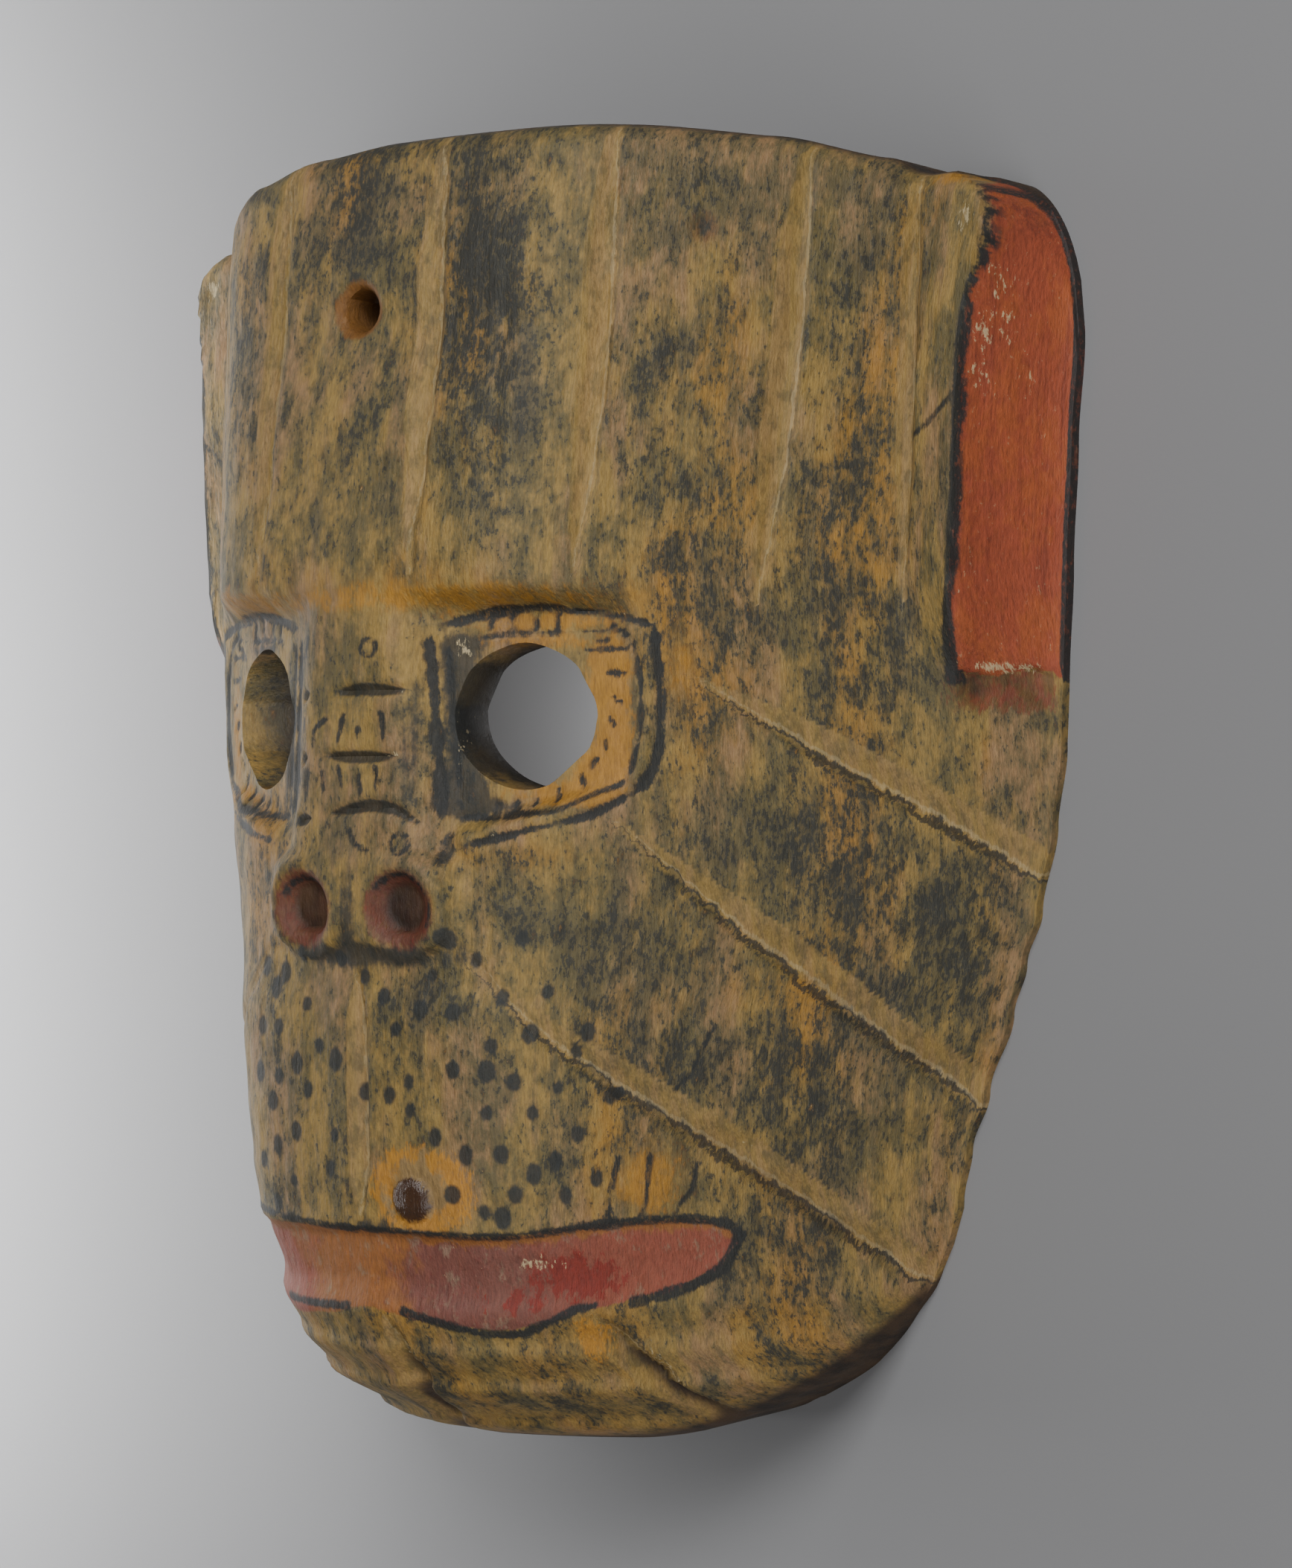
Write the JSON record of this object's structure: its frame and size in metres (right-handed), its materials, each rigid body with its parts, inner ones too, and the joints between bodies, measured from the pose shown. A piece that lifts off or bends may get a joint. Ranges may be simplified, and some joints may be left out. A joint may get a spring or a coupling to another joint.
{
  "type": "carved monkey mask",
  "caption": "Hollow carved wooden monkey mask with bored eyes, raised ears, furrowed brow and painted mouth, lying face up on its flat back rim.",
  "frame": {"origin": "on the plane of the back rim, under the middle of the mask's box", "axes": "+X across the face towards the mask's own left ear, +Y from the chin to the forehead, +Z out of the face"},
  "size_m": [0.216, 0.2591, 0.0981],
  "materials": {
    "painted_wood": "worn matt paint over carved wood, ochre with black stain and lines, red ears and mouth"
  },
  "bodies": {
    "root": {"mask": "painted_wood"}
  },
  "joints": []
}
